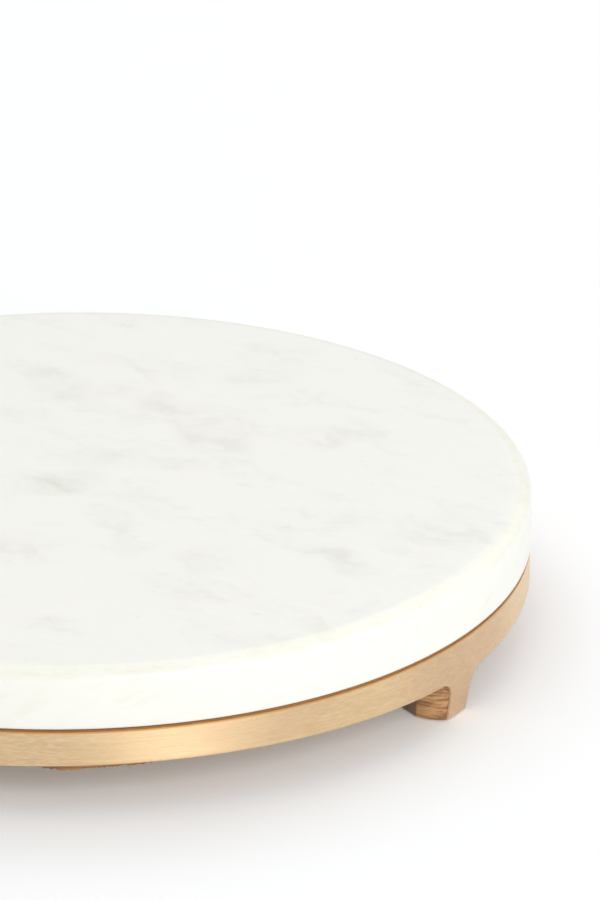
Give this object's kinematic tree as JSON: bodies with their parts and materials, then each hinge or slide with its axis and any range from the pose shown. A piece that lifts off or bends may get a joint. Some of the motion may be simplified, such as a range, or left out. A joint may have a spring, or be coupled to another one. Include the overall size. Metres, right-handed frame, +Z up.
{
  "type": "lazy susan turntable",
  "caption": "Footed turntable: a thick marble disc spins on a flat ball bearing above a hardwood rim clad in a brass band.",
  "frame": {"origin": "on the table, on the turning axis", "axes": "+Z up along the turning axis; +X and +Y run midway between two feet, -Y is the front"},
  "size_m": [0.305, 0.305, 0.0483],
  "materials": {
    "marble": "honed white with soft grey clouds",
    "brushed_brass": "brushed along its length, clear lacquered",
    "rim_wood": "oiled, grain along the segment",
    "foot_wood": "oiled, grain lying flat",
    "dowel_wood": "raw beech",
    "plywood": "sealed birch plywood",
    "plate_steel": "zinc plated",
    "screw_steel": "zinc plated",
    "ball_steel": "polished",
    "cage_plastic": "natural nylon",
    "insert_brass": "turned",
    "felt": "pressed felt"
  },
  "bodies": {
    "base": {"pivot_rivet": "plate_steel", "pivot_washer": "insert_brass", "bearing_lower_plate": "plate_steel", "plate_bolts": "screw_steel", "plate_washers": "screw_steel", "plate_nuts": "screw_steel", "base_panel": "plywood", "panel_screws": "screw_steel", "rim_dowels": "dowel_wood", "brass_band": "brushed_brass", "rim_segment_front_right": "rim_wood", "rim_segment_back_right": "rim_wood", "rim_segment_back_left": "rim_wood", "rim_segment_front_left": "rim_wood", "foot_front_right": "foot_wood", "foot_back_right": "foot_wood", "foot_back_left": "foot_wood", "foot_front_left": "foot_wood", "foot_pad_front_right": "felt", "foot_pad_back_right": "felt", "foot_pad_back_left": "felt", "foot_pad_front_left": "felt", "foot_screws": "screw_steel"},
    "turntable": {"marble_top": "marble", "marble_inserts": "insert_brass", "upper_plate_screws": "screw_steel", "bearing_upper_plate": "plate_steel"},
    "ball_set": {"bearing_balls": "ball_steel", "ball_cage": "cage_plastic"}
  },
  "joints": [
    {"name": "turntable_spin", "type": "hinge", "parent": "base", "child": "turntable", "pos_m": [0, 0, 0.0287], "axis": [0, 0, 1], "continuous": true},
    {"name": "ball_set_spin", "type": "hinge", "parent": "base", "child": "ball_set", "pos_m": [0, 0, 0.0247], "axis": [0, 0, 1], "continuous": true}
  ],
  "couplings": [
    {"joint": "ball_set_spin", "follows": "turntable_spin", "ratio": 0.5}
  ]
}
